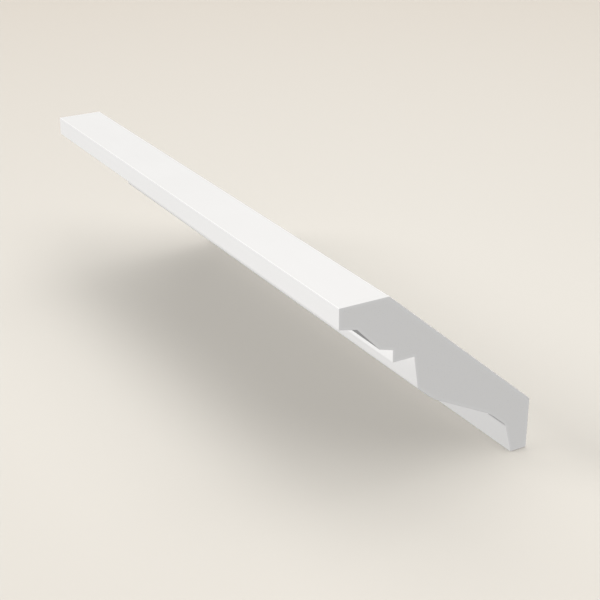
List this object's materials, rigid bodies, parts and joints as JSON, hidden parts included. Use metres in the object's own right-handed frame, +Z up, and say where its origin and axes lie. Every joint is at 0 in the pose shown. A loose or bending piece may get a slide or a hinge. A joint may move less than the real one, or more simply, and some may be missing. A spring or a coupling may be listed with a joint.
{
  "type": "crown moulding",
  "caption": "Straight length of white crown moulding, cut square at both ends, with a fascia, small cyma, fillet, soffit and large ogee, to cover the corner of a wall and a ceiling.",
  "frame": {"origin": "centre of the flat that bears on the wall", "axes": "+X along the length, to the right as seen from the room, +Y into the wall, +Z up to the ceiling; the face looks towards -Y and down"},
  "size_m": [0.305, 0.1026, 0.0934],
  "materials": {
    "white_body": "matt white primer skin on white moulded polyurethane, cut ends bare"
  },
  "bodies": {
    "root": {"crown_moulding": "white_body"}
  },
  "joints": []
}
